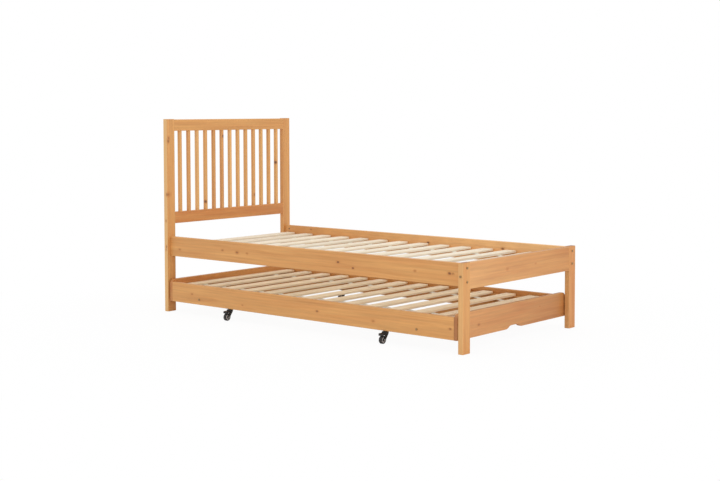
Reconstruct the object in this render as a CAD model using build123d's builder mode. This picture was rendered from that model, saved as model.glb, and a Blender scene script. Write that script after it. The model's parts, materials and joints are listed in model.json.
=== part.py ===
from build123d import *
from math import radians, sqrt, tan
import os

# A single pine bed with a slatted headboard, and a second low bed on casters that rolls out from under it.
# All sizes are in millimetres. The pieces are drawn about the middle of the bed frame, and written about the
# middle of the whole bed's footprint on the floor, which the low bed's wheels carry a little to their side.
# +X points to the foot end, -Y to the side where the low bed comes out, +Z up.

# Bed frame as a whole
overall_length = 2074.0
overall_width = 1010.0
headboard_height = 1090.0
edge_ease = 3.0

# Headboard: two posts, two rails tenoned into them, and a row of upright slats tenoned into the rails
post_depth = 28.0
post_width = 60.0
headboard_rail_thickness = 25.0
headboard_rail_height = 65.0
top_rail_drop = 2.0
lower_rail_bottom = 498.0
rail_tenon_thickness = 10.0
rail_tenon_height = 40.0
rail_tenon_length = 32.0
upright_count = 13
upright_width = 16.0
upright_thickness = 20.0
upright_ease = 1.5
upright_end_gap = 42.2
upright_tenon_width = 10.0
upright_tenon_thickness = 10.0
upright_tenon_length = 20.0
joint_slack = 0.1

# Foot end and side rails
leg_depth = 28.0
leg_width = 60.0
leg_height = 430.0
side_rail_thickness = 24.0
side_rail_height = 110.0
side_rail_drop = 4.0
side_rail_inset = 21.0
foot_rail_thickness = 24.0
foot_rail_height = 125.0
foot_rail_drop = 2.0
foot_rail_setback = 2.0

# Slat decks, the same roll of slats in both beds: flat slats on two webbing tapes, laid on ledgers
slat_width = 64.0
slat_thickness = 12.0
slat_pitch = 147.5
slat_end_play = 6.0
tape_width = 32.0
tape_thickness = 1.0
tape_half_spacing = 290.0
ledger_thickness = 20.0
ledger_height = 24.0
ledger_ease = 1.5
ledger_end_gap = 14.0
bed_deck_depth = 41.0
bed_first_slat_gap = 25.0

# Low bed: two side rails between two taller end boards, tied together by cross bars
trundle_head_gap = 15.0
trundle_foot_gap = 5.0
trundle_near_setback = 2.0
trundle_far_setback = 45.0
trundle_rail_thickness = 20.0
trundle_rail_height = 110.0
end_board_thickness = 20.0
end_board_height = 125.0
end_board_top_radius = 26.0
end_board_bottom_radius = 6.0
end_board_ease = 2.0
notch_width = 142.0
notch_depth = 15.5
notch_side_run = 48.0
trundle_deck_depth = 17.0
trundle_first_slat_gap = 3.0
cross_bar_thickness = 22.0
cross_bar_lift = 10.0
cross_bar_drop = 9.0
stretcher_inset = 240.0

# Casters: a moulded fork that swivels on a stem under the rail, with a trailing wheel under its hood
caster_inset_head = 472.0
caster_inset_foot = 440.0
caster_trail = 22.0
wheel_radius = 20.0
wheel_width = 18.0
wheel_shoulder = 3.5
wheel_rim = 5.5
wheel_dish_depth = 2.0
wheel_top_gap = 9.7
hub_radius = 7.0
hub_proud = 1.0
axle_radius = 3.0
axle_head_radius = 5.5
axle_head_height = 2.5
fork_arm_thickness = 3.5
fork_arm_gap = 0.6
fork_arm_end_radius = 8.0
fork_head_overhang = 2.9
fork_head_height = 8.0
fork_plate_thickness = 3.0
hood_wheel_gap = 4.0
hood_reach = 13.0
hood_rivet_gap = 0.5
hood_front_gap = 1.5
hood_round = 4.0
stem_radius = 4.0
stem_end_gap = 1.0
stem_collar_radius = 10.0
stem_collar_height = 4.0
swivel_pin_radius = 5.0
swivel_rivet_radius = 8.0
swivel_rivet_height = 2.0
swivel_float = 0.3
running_clearance = 0.05
insert_radius = 6.0
insert_length = 15.0

# Fasteners: connector bolts with barrel nuts, countersunk screws and dowels
bolt_radius = 3.0
bolt_head_radius = 6.0
bolt_head_height = 2.5
bolt_hex_radius = 2.3
bolt_hole_slack = 0.4
bolt_overrun = 8.0
barrel_nut_radius = 5.0
barrel_nut_length = 15.0
barrel_nut_reach = 36.0
side_bolt_edge = 22.0
screw_radius = 2.0
screw_head_radius = 4.0
screw_head_angle = 90.0
screw_length = 32.0
screws_per_ledger = 4
screw_end_distance = 90.0
dowel_radius = 4.0
dowel_length = 36.0
dowel_blind_depth = 12.0
end_dowel_edge = 30.0

# Bed frame: places that follow from those sizes
head_back_x = -overall_length / 2
foot_face_x = overall_length / 2
side_y = overall_width / 2
post_front_x = head_back_x + post_depth
post_middle_x = head_back_x + post_depth / 2
leg_inner_x = foot_face_x - leg_depth
side_rail_length = leg_inner_x - post_front_x
side_rail_middle_x = (leg_inner_x + post_front_x) / 2
side_rail_middle_y = side_y - side_rail_inset - side_rail_thickness / 2
side_rail_inner_y = side_y - side_rail_inset - side_rail_thickness
side_rail_top = leg_height - side_rail_drop
side_rail_middle_z = side_rail_top - side_rail_height / 2
side_bolt_reach = side_rail_height / 2 - side_bolt_edge
side_bolt_zs = [side_rail_middle_z - side_bolt_reach, side_rail_middle_z + side_bolt_reach]
foot_rail_middle_x = foot_face_x - foot_rail_setback - foot_rail_thickness / 2
foot_rail_inner_x = foot_rail_middle_x - foot_rail_thickness / 2
foot_rail_middle_z = leg_height - foot_rail_drop - foot_rail_height / 2
foot_rail_length = overall_width - 2 * leg_width
headboard_clear_width = overall_width - 2 * post_width
top_rail_middle_z = headboard_height - top_rail_drop - headboard_rail_height / 2
lower_rail_middle_z = lower_rail_bottom + headboard_rail_height / 2
upright_reach = headboard_clear_width / 2 - upright_end_gap - upright_width / 2
bed_deck_z = side_rail_top - bed_deck_depth
bed_ledger_z = bed_deck_z - slat_thickness - ledger_height / 2
bed_ledger_face_y = side_rail_inner_y - ledger_thickness

# Casters and low bed: the casters set how high the low bed stands
trundle_bottom = 2 * wheel_radius + wheel_top_gap + fork_head_height + swivel_float + stem_collar_height
trundle_head_x = post_front_x + trundle_head_gap
trundle_foot_x = leg_inner_x - trundle_foot_gap
trundle_middle_x = (trundle_head_x + trundle_foot_x) / 2
trundle_width = overall_width - trundle_near_setback - trundle_far_setback
trundle_middle_y = (trundle_near_setback - trundle_far_setback) / 2
trundle_rail_length = trundle_foot_x - trundle_head_x - 2 * end_board_thickness
trundle_rail_middle_z = trundle_bottom + trundle_rail_height / 2
trundle_rail_reach = trundle_width / 2 - trundle_rail_thickness / 2
trundle_inner_reach = trundle_width / 2 - trundle_rail_thickness
trundle_deck_z = trundle_bottom + trundle_rail_height - trundle_deck_depth
trundle_ledger_z = trundle_deck_z - slat_thickness - ledger_height / 2
cross_bar_bottom = trundle_bottom + cross_bar_lift
cross_bar_top = trundle_ledger_z - ledger_height / 2 - cross_bar_drop
cross_bar_middle_z = (cross_bar_bottom + cross_bar_top) / 2
end_dowel_reach = trundle_rail_height / 2 - end_dowel_edge
end_dowel_zs = [trundle_rail_middle_z - end_dowel_reach, trundle_rail_middle_z + end_dowel_reach]
bar_dowel_room = cross_bar_top - trundle_bottom - insert_length
bar_dowel_zs = [cross_bar_top - bar_dowel_room / 4, cross_bar_top - bar_dowel_room * 3 / 4]
stretcher_xs = {"head": trundle_head_x + stretcher_inset, "foot": trundle_foot_x - stretcher_inset}
caster_xs = {"head": trundle_head_x + caster_inset_head, "foot": trundle_foot_x - caster_inset_foot}
sides = {"near": -1, "far": 1}
near_wheel_y = trundle_middle_y - trundle_rail_reach - caster_trail - wheel_radius
far_bolt_y = side_y + bolt_head_height
footprint_middle_y = (near_wheel_y + far_bolt_y) / 2

collar_bottom = trundle_bottom - stem_collar_height
fork_top = collar_bottom - swivel_float
fork_plate_bottom = fork_top - fork_plate_thickness
fork_skirt_bottom = fork_top - fork_head_height
hub_half_length = wheel_width / 2 + hub_proud
arm_inner_reach = hub_half_length + fork_arm_gap
arm_outer_reach = arm_inner_reach + fork_arm_thickness
fork_head_radius = arm_outer_reach + fork_head_overhang
rivet_top = fork_plate_bottom - swivel_float
hood_top = rivet_top - swivel_rivet_height - hood_rivet_gap
hood_front = caster_trail - swivel_rivet_radius - hood_front_gap

# Fasteners: lengths and holes that follow from the boards they join
bolt_hole_radius = bolt_radius + bolt_hole_slack
bolt_grip = barrel_nut_reach + bolt_overrun
bolt_hole_depth = bolt_grip + bolt_hole_slack
nut_hole_radius = barrel_nut_radius + joint_slack
screw_hole_radius = screw_radius + joint_slack
screw_bite = screw_length - ledger_thickness + joint_slack
dowel_hole_radius = dowel_radius + joint_slack
dowel_hole_depth = dowel_blind_depth + joint_slack
dowel_long_hole = dowel_length - dowel_blind_depth + joint_slack

# Ways to stand a round piece on its plane or to sink it below
standing = (Align.CENTER, Align.CENTER, Align.MIN)
sunk = (Align.CENTER, Align.CENTER, Align.MAX)


def rounded_board(size, centre, grain, ease=edge_ease):
    """Add a sawn board whose long edges, along its grain, are rounded over."""
    with Locations(centre):
        Box(*size)
    fillet(edges(Select.LAST).filter_by(grain), ease)


def drill(mouth, outward, radius, depth):
    """Drill a round hole from its mouth into the wood."""
    with Locations(Plane(origin=mouth, z_dir=outward)):
        Hole(radius, depth)


def drill_for_nut(mouth, outward, wood_thickness):
    """Drill the blind hole that holds a barrel nut in the middle of the wood's thickness."""
    drill(mouth, outward, nut_hole_radius, (wood_thickness + barrel_nut_length) / 2 + joint_slack)


def bolt(seat, outward, length):
    """Add a connector bolt: a flat round head with a hexagon socket, on a plain shank."""
    seat_plane = Plane(origin=seat, z_dir=outward)
    with Locations(seat_plane):
        Cylinder(bolt_radius, length, align=sunk)
        Cylinder(bolt_head_radius, bolt_head_height, align=standing)
    with BuildSketch(seat_plane) as socket:
        RegularPolygon(bolt_hex_radius, 6)
    extrude(socket.sketch, amount=bolt_head_height, mode=Mode.SUBTRACT)


def barrel_nut(centre, outward, bolt_way):
    """Add a barrel nut: a short round bar with a cross hole for the bolt."""
    with Locations(Plane(origin=centre, z_dir=outward)):
        Cylinder(barrel_nut_radius, barrel_nut_length)
    with Locations(Plane(origin=centre, z_dir=bolt_way)):
        Cylinder(bolt_radius + joint_slack, 4 * barrel_nut_radius, mode=Mode.SUBTRACT)


def screw(seat, outward):
    """Add a countersunk wood screw with its head level with the surface."""
    head_height = (screw_head_radius - screw_radius) / tan(radians(screw_head_angle / 2))
    with Locations(Plane(origin=seat, z_dir=outward)):
        Cone(screw_radius, screw_head_radius, head_height, align=sunk)
        Cylinder(screw_radius, screw_length, align=sunk)


def dowel(mouth, outward):
    """Add a dowel that stands out of a blind hole by the rest of its length."""
    with Locations(Plane(origin=mouth, z_dir=outward).offset(dowel_length / 2 - dowel_blind_depth)):
        Cylinder(dowel_radius, dowel_length)


def spread(first, last, count):
    """List even steps from first to last."""
    return [first + (last - first) * step / (count - 1) for step in range(count)]


def save(piece, name):
    """Set a finished piece over the middle of the footprint, label it and write it to its own file."""
    placed = piece.part.moved(Location((0, -footprint_middle_y, 0)))
    placed.label = name
    export_step(placed, f"parts/{name}.step")


def ledger(name, length, centre, side, screw_xs):
    """Make a ledger strip, with countersunk holes in the face that looks into the bed."""
    face_y = centre[1] - side * ledger_thickness / 2
    with BuildPart() as strip:
        rounded_board((length, ledger_thickness, ledger_height), centre, Axis.X, ledger_ease)
        screw_spots = [(screw_x, face_y, centre[2]) for screw_x in screw_xs]
        with Locations([Plane(origin=spot, z_dir=(0, -side, 0)) for spot in screw_spots]):
            CounterSinkHole(
                screw_hole_radius, screw_head_radius + joint_slack, ledger_thickness, screw_head_angle
            )
    save(strip, name)


def slat_roll(bed, deck_length, first_x, middle_y, slat_length, deck_z):
    """Make the slats of one deck and the two tapes that join them from below."""
    count = int((deck_length - slat_width) // slat_pitch) + 1
    slat_xs = [first_x + slat_width / 2 + slat_pitch * step for step in range(count)]
    with BuildPart() as slats:
        for slat_x in slat_xs:
            slat_centre = (slat_x, middle_y, deck_z - slat_thickness / 2)
            rounded_board((slat_width, slat_length, slat_thickness), slat_centre, Axis.Y)
    save(slats, f"{bed}_slats")
    tape_length = slat_xs[-1] - slat_xs[0] + slat_width - 2 * edge_ease
    tape_x = (slat_xs[0] + slat_xs[-1]) / 2
    tape_z = deck_z - slat_thickness - tape_thickness / 2
    with BuildPart() as tapes:
        with Locations([(tape_x, middle_y + side * tape_half_spacing, tape_z) for side in sides.values()]):
            Box(tape_length, tape_width, tape_thickness)
    save(tapes, f"{bed}_slat_tapes")


os.makedirs("parts", exist_ok=True)

# Headboard posts, with a mortise for each rail and two bolt holes for the side rail
for name, side in sides.items():
    mortise_y = side * (side_y - post_width + rail_tenon_length / 2)
    with BuildPart() as head_post:
        with Locations((post_middle_x, side * (side_y - post_width / 2), headboard_height / 2)):
            Box(post_depth, post_width, headboard_height)
        fillet(head_post.edges().filter_by(Axis.Z), edge_ease)
        fillet(head_post.faces().sort_by(Axis.Z)[-1].edges(), edge_ease)
        rail_zs = (top_rail_middle_z, lower_rail_middle_z)
        with Locations([(post_middle_x, mortise_y, rail_z) for rail_z in rail_zs]):
            Box(
                rail_tenon_thickness + 2 * joint_slack,
                rail_tenon_length + 2 * joint_slack,
                rail_tenon_height + 2 * joint_slack,
                mode=Mode.SUBTRACT,
            )
        for bolt_z in side_bolt_zs:
            bolt_mouth = (head_back_x, side * side_rail_middle_y, bolt_z)
            drill(bolt_mouth, (-1, 0, 0), bolt_hole_radius, post_depth)
    save(head_post, f"head_post_{name}")

# Headboard rails: alike, with the mortises for the uprights facing each other
upright_ys = spread(-upright_reach, upright_reach, upright_count)
for name, rail_z, facing in (("top", top_rail_middle_z, -1), ("lower", lower_rail_middle_z, 1)):
    mortise_depth = upright_tenon_length + joint_slack
    mortise_z = rail_z + facing * (headboard_rail_height - mortise_depth) / 2
    with BuildPart() as headboard_rail:
        rounded_board(
            (headboard_rail_thickness, headboard_clear_width, headboard_rail_height),
            (post_middle_x, 0, rail_z),
            Axis.Y,
        )
        with Locations((post_middle_x, 0, rail_z)):
            Box(rail_tenon_thickness, headboard_clear_width + 2 * rail_tenon_length, rail_tenon_height)
        with Locations([(post_middle_x, upright_y, mortise_z) for upright_y in upright_ys]):
            Box(
                upright_tenon_thickness + 2 * joint_slack,
                upright_tenon_width + 2 * joint_slack,
                mortise_depth,
                mode=Mode.SUBTRACT,
            )
    save(headboard_rail, f"headboard_{name}_rail")

# Upright slats of the headboard, with a tenon at both ends
upright_bottom = lower_rail_bottom + headboard_rail_height
upright_top = headboard_height - top_rail_drop - headboard_rail_height
upright_length = upright_top - upright_bottom
for number, upright_y in enumerate(upright_ys, start=1):
    upright_centre = (post_middle_x, upright_y, (upright_top + upright_bottom) / 2)
    with BuildPart() as upright:
        upright_size = (upright_thickness, upright_width, upright_length)
        rounded_board(upright_size, upright_centre, Axis.Z, upright_ease)
        with Locations(upright_centre):
            Box(upright_tenon_thickness, upright_tenon_width, upright_length + 2 * upright_tenon_length)
    save(upright, f"headboard_slat_{number:02d}")

# Foot legs, bolted to the side rails from the foot end and to the foot rail from the side
for name, side in sides.items():
    with BuildPart() as foot_leg:
        with Locations(((leg_inner_x + foot_face_x) / 2, side * (side_y - leg_width / 2), leg_height / 2)):
            Box(leg_depth, leg_width, leg_height)
        fillet(foot_leg.edges().filter_by(Axis.Z), edge_ease)
        fillet(foot_leg.faces().sort_by(Axis.Z)[-1].edges(), edge_ease)
        for bolt_z in side_bolt_zs:
            drill((foot_face_x, side * side_rail_middle_y, bolt_z), (1, 0, 0), bolt_hole_radius, leg_depth)
        side_mouth = (foot_rail_middle_x, side * side_y, foot_rail_middle_z)
        drill(side_mouth, (0, side, 0), bolt_hole_radius, leg_width)
    save(foot_leg, f"foot_leg_{name}")

# Side rails, drilled at both ends for bolts, and from inside for barrel nuts and ledger screws
ledger_length = foot_rail_inner_x - post_front_x - 2 * ledger_end_gap
ledger_middle_x = (foot_rail_inner_x + post_front_x) / 2
screw_reach = ledger_length / 2 - screw_end_distance
bed_screw_xs = spread(ledger_middle_x - screw_reach, ledger_middle_x + screw_reach, screws_per_ledger)
for name, side in sides.items():
    inward = (0, -side, 0)
    with BuildPart() as side_rail:
        rounded_board(
            (side_rail_length, side_rail_thickness, side_rail_height),
            (side_rail_middle_x, side * side_rail_middle_y, side_rail_middle_z),
            Axis.X,
        )
        for bolt_z in side_bolt_zs:
            for end_x, end in ((post_front_x, -1), (leg_inner_x, 1)):
                bolt_mouth = (end_x, side * side_rail_middle_y, bolt_z)
                drill(bolt_mouth, (end, 0, 0), bolt_hole_radius, bolt_hole_depth)
                nut_mouth = (end_x - end * barrel_nut_reach, side * side_rail_inner_y, bolt_z)
                drill_for_nut(nut_mouth, inward, side_rail_thickness)
        for screw_x in bed_screw_xs:
            drill((screw_x, side * side_rail_inner_y, bed_ledger_z), inward, screw_hole_radius, screw_bite)
    save(side_rail, f"side_rail_{name}")

# Foot rail between the legs
with BuildPart() as foot_rail:
    rounded_board(
        (foot_rail_thickness, foot_rail_length, foot_rail_height),
        (foot_rail_middle_x, 0, foot_rail_middle_z),
        Axis.Y,
    )
    for side in sides.values():
        end_y = side * foot_rail_length / 2
        bolt_mouth = (foot_rail_middle_x, end_y, foot_rail_middle_z)
        drill(bolt_mouth, (0, side, 0), bolt_hole_radius, bolt_hole_depth)
        nut_mouth = (foot_rail_inner_x, end_y - side * barrel_nut_reach, foot_rail_middle_z)
        drill_for_nut(nut_mouth, (-1, 0, 0), foot_rail_thickness)
save(foot_rail, "foot_rail")

# Bolts and barrel nuts of the bed frame
with BuildPart() as frame_bolts:
    for side in sides.values():
        for bolt_z in side_bolt_zs:
            bolt((head_back_x, side * side_rail_middle_y, bolt_z), (-1, 0, 0), post_depth + bolt_grip)
            bolt((foot_face_x, side * side_rail_middle_y, bolt_z), (1, 0, 0), leg_depth + bolt_grip)
        bolt((foot_rail_middle_x, side * side_y, foot_rail_middle_z), (0, side, 0), leg_width + bolt_grip)
save(frame_bolts, "frame_bolts")

with BuildPart() as frame_barrel_nuts:
    for side in sides.values():
        for bolt_z in side_bolt_zs:
            for nut_x in (post_front_x + barrel_nut_reach, leg_inner_x - barrel_nut_reach):
                barrel_nut((nut_x, side * side_rail_middle_y, bolt_z), (0, -side, 0), (1, 0, 0))
        nut_y = side * (foot_rail_length / 2 - barrel_nut_reach)
        barrel_nut((foot_rail_middle_x, nut_y, foot_rail_middle_z), (-1, 0, 0), (0, 1, 0))
save(frame_barrel_nuts, "frame_barrel_nuts")

# Slat deck of the bed: ledgers inside the side rails, their screws, and the slat roll
for name, side in sides.items():
    ledger_centre = (ledger_middle_x, side * (side_rail_inner_y - ledger_thickness / 2), bed_ledger_z)
    ledger(f"bed_ledger_{name}", ledger_length, ledger_centre, side, bed_screw_xs)
with BuildPart() as bed_ledger_screws:
    for side in sides.values():
        for screw_x in bed_screw_xs:
            screw((screw_x, side * bed_ledger_face_y, bed_ledger_z), (0, -side, 0))
save(bed_ledger_screws, "bed_ledger_screws")
slat_roll(
    "bed",
    foot_rail_inner_x - post_front_x - bed_first_slat_gap,
    post_front_x + bed_first_slat_gap,
    0,
    2 * (side_rail_inner_y - slat_end_play),
    bed_deck_z,
)

# Side rails of the low bed, with blind holes for dowels, through holes for the stretchers' bolts,
# pilot holes for the ledger screws, and a hole from below for each caster's threaded insert
trundle_ledger_length = trundle_rail_length - 2 * ledger_end_gap
trundle_screw_reach = trundle_ledger_length / 2 - screw_end_distance
trundle_screw_xs = spread(
    trundle_middle_x - trundle_screw_reach, trundle_middle_x + trundle_screw_reach, screws_per_ledger
)
for name, side in sides.items():
    inward = (0, -side, 0)
    rail_y = trundle_middle_y + side * trundle_rail_reach
    outer_y = trundle_middle_y + side * trundle_width / 2
    inner_y = trundle_middle_y + side * trundle_inner_reach
    with BuildPart() as trundle_rail:
        rounded_board(
            (trundle_rail_length, trundle_rail_thickness, trundle_rail_height),
            (trundle_middle_x, rail_y, trundle_rail_middle_z),
            Axis.X,
        )
        for end in (-1, 1):
            for dowel_z in end_dowel_zs:
                rail_end = (trundle_middle_x + end * trundle_rail_length / 2, rail_y, dowel_z)
                drill(rail_end, (end, 0, 0), dowel_hole_radius, dowel_long_hole)
        for stretcher_x in stretcher_xs.values():
            bolt_mouth = (stretcher_x, outer_y, cross_bar_middle_z)
            drill(bolt_mouth, (0, side, 0), bolt_hole_radius, trundle_rail_thickness)
        for caster_x in caster_xs.values():
            insert_mouth = (caster_x, rail_y, trundle_bottom)
            drill(insert_mouth, (0, 0, -1), insert_radius + joint_slack, insert_length)
            for dowel_z in bar_dowel_zs:
                drill((caster_x, inner_y, dowel_z), inward, dowel_hole_radius, dowel_hole_depth)
        for screw_x in trundle_screw_xs:
            drill((screw_x, inner_y, trundle_ledger_z), inward, screw_hole_radius, screw_bite)
    save(trundle_rail, f"trundle_rail_{name}")

# End boards of the low bed: rounded top corners, and a shallow notch with curved sides in the bottom edge
notch_radius = (notch_side_run**2 + notch_depth**2) / (4 * notch_depth)
notch_half = notch_width / 2
crown_half = notch_half - notch_side_run
bend_half = notch_half - notch_side_run / 2
board_half = trundle_width / 2
for name, outer_x, outward in (("head", trundle_head_x, -1), ("foot", trundle_foot_x, 1)):
    board_corner = (outer_x, trundle_middle_y, trundle_bottom)
    board_plane = Plane(origin=board_corner, x_dir=(0, outward, 0), z_dir=(outward, 0, 0))
    inner_x = outer_x - outward * end_board_thickness
    with BuildPart() as end_board:
        with BuildSketch(board_plane):
            with BuildLine():
                crown = Line((0, notch_depth), (crown_half, notch_depth))
                upper_bend = RadiusArc(crown @ 1, (bend_half, notch_depth / 2), notch_radius)
                lower_bend = RadiusArc(upper_bend @ 1, (notch_half, 0), -notch_radius)
                Polyline(
                    lower_bend @ 1,
                    (board_half, 0),
                    (board_half, end_board_height),
                    (0, end_board_height),
                )
                mirror(about=Plane.YZ)
            outline = make_face()
            end_corners = [outline.vertices().group_by(Axis.X)[end].sort_by(Axis.Y) for end in (0, -1)]
            fillet([corners[-1] for corners in end_corners], end_board_top_radius)
            fillet([corners[0] for corners in end_corners], end_board_bottom_radius)
        extrude(amount=-end_board_thickness)
        for face in (end_board.faces().sort_by(Axis.X)[0], end_board.faces().sort_by(Axis.X)[-1]):
            fillet(face.edges(), end_board_ease)
        for side in sides.values():
            for dowel_z in end_dowel_zs:
                dowel_mouth = (inner_x, trundle_middle_y + side * trundle_rail_reach, dowel_z)
                drill(dowel_mouth, (-outward, 0, 0), dowel_hole_radius, dowel_hole_depth)
    save(end_board, f"trundle_{name}_board")

# Cross bars: stretchers bolted through the rails, and bars doweled between the rails at the casters
bar_size = (cross_bar_thickness, 2 * trundle_inner_reach, cross_bar_top - cross_bar_bottom)
for name, stretcher_x in stretcher_xs.items():
    with BuildPart() as stretcher:
        rounded_board(bar_size, (stretcher_x, trundle_middle_y, cross_bar_middle_z), Axis.Y)
        for side in sides.values():
            end_y = trundle_middle_y + side * trundle_inner_reach
            drill((stretcher_x, end_y, cross_bar_middle_z), (0, side, 0), bolt_hole_radius, bolt_hole_depth)
            nut_y = end_y - side * barrel_nut_reach
            nut_mouth = (stretcher_x - cross_bar_thickness / 2, nut_y, cross_bar_middle_z)
            drill_for_nut(nut_mouth, (-1, 0, 0), cross_bar_thickness)
    save(stretcher, f"trundle_stretcher_{name}")
for name, caster_x in caster_xs.items():
    with BuildPart() as caster_bar:
        rounded_board(bar_size, (caster_x, trundle_middle_y, cross_bar_middle_z), Axis.Y)
        for side in sides.values():
            end_y = trundle_middle_y + side * trundle_inner_reach
            for dowel_z in bar_dowel_zs:
                drill((caster_x, end_y, dowel_z), (0, side, 0), dowel_hole_radius, dowel_long_hole)
    save(caster_bar, f"trundle_caster_bar_{name}")

# Bolts, barrel nuts and dowels of the low bed
with BuildPart() as trundle_bolts:
    for side in sides.values():
        for stretcher_x in stretcher_xs.values():
            bolt_seat = (stretcher_x, trundle_middle_y + side * trundle_width / 2, cross_bar_middle_z)
            bolt(bolt_seat, (0, side, 0), trundle_rail_thickness + bolt_grip)
save(trundle_bolts, "trundle_bolts")

with BuildPart() as trundle_barrel_nuts:
    for side in sides.values():
        nut_y = trundle_middle_y + side * (trundle_inner_reach - barrel_nut_reach)
        for stretcher_x in stretcher_xs.values():
            barrel_nut((stretcher_x, nut_y, cross_bar_middle_z), (-1, 0, 0), (0, 1, 0))
save(trundle_barrel_nuts, "trundle_barrel_nuts")

with BuildPart() as trundle_dowels:
    for side in sides.values():
        rail_y = trundle_middle_y + side * trundle_rail_reach
        inner_y = trundle_middle_y + side * trundle_inner_reach
        for dowel_z in end_dowel_zs:
            dowel((trundle_head_x + end_board_thickness, rail_y, dowel_z), (1, 0, 0))
            dowel((trundle_foot_x - end_board_thickness, rail_y, dowel_z), (-1, 0, 0))
        for dowel_z in bar_dowel_zs:
            for caster_x in caster_xs.values():
                dowel((caster_x, inner_y, dowel_z), (0, -side, 0))
save(trundle_dowels, "trundle_dowels")

# Slat deck of the low bed
trundle_ledger_reach = trundle_inner_reach - ledger_thickness / 2
for name, side in sides.items():
    ledger_centre = (trundle_middle_x, trundle_middle_y + side * trundle_ledger_reach, trundle_ledger_z)
    ledger(f"trundle_ledger_{name}", trundle_ledger_length, ledger_centre, side, trundle_screw_xs)
with BuildPart() as trundle_ledger_screws:
    for side in sides.values():
        face_y = trundle_middle_y + side * (trundle_inner_reach - ledger_thickness)
        for screw_x in trundle_screw_xs:
            screw((screw_x, face_y, trundle_ledger_z), (0, -side, 0))
save(trundle_ledger_screws, "trundle_ledger_screws")
slat_roll(
    "trundle",
    trundle_rail_length - trundle_first_slat_gap,
    trundle_head_x + end_board_thickness + trundle_first_slat_gap,
    trundle_middle_y,
    2 * (trundle_inner_reach - slat_end_play),
    trundle_deck_z,
)

# Threaded inserts in the rails, and the caster stems that screw into them
caster_spots = {
    f"{side_name}_{end_name}": (caster_x, trundle_middle_y + side * trundle_rail_reach)
    for side_name, side in sides.items()
    for end_name, caster_x in caster_xs.items()
}
with BuildPart() as caster_inserts:
    with Locations([(x, y, trundle_bottom) for x, y in caster_spots.values()]):
        Cylinder(insert_radius, insert_length, align=standing)
        Cylinder(stem_radius + joint_slack, insert_length, align=standing, mode=Mode.SUBTRACT)
save(caster_inserts, "caster_inserts")

with BuildPart() as caster_stems:
    with Locations([(x, y, trundle_bottom) for x, y in caster_spots.values()]):
        Cylinder(stem_radius, insert_length - stem_end_gap, align=standing)
    with Locations([(x, y, collar_bottom) for x, y in caster_spots.values()]):
        Cylinder(stem_collar_radius, stem_collar_height, align=standing)
    with Locations([(x, y, rivet_top) for x, y in caster_spots.values()]):
        Cylinder(swivel_pin_radius, collar_bottom - rivet_top, align=standing)
    with Locations([(x, y, rivet_top - swivel_rivet_height) for x, y in caster_spots.values()]):
        Cylinder(swivel_rivet_radius, swivel_rivet_height, align=standing)
save(caster_stems, "caster_stems")

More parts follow.
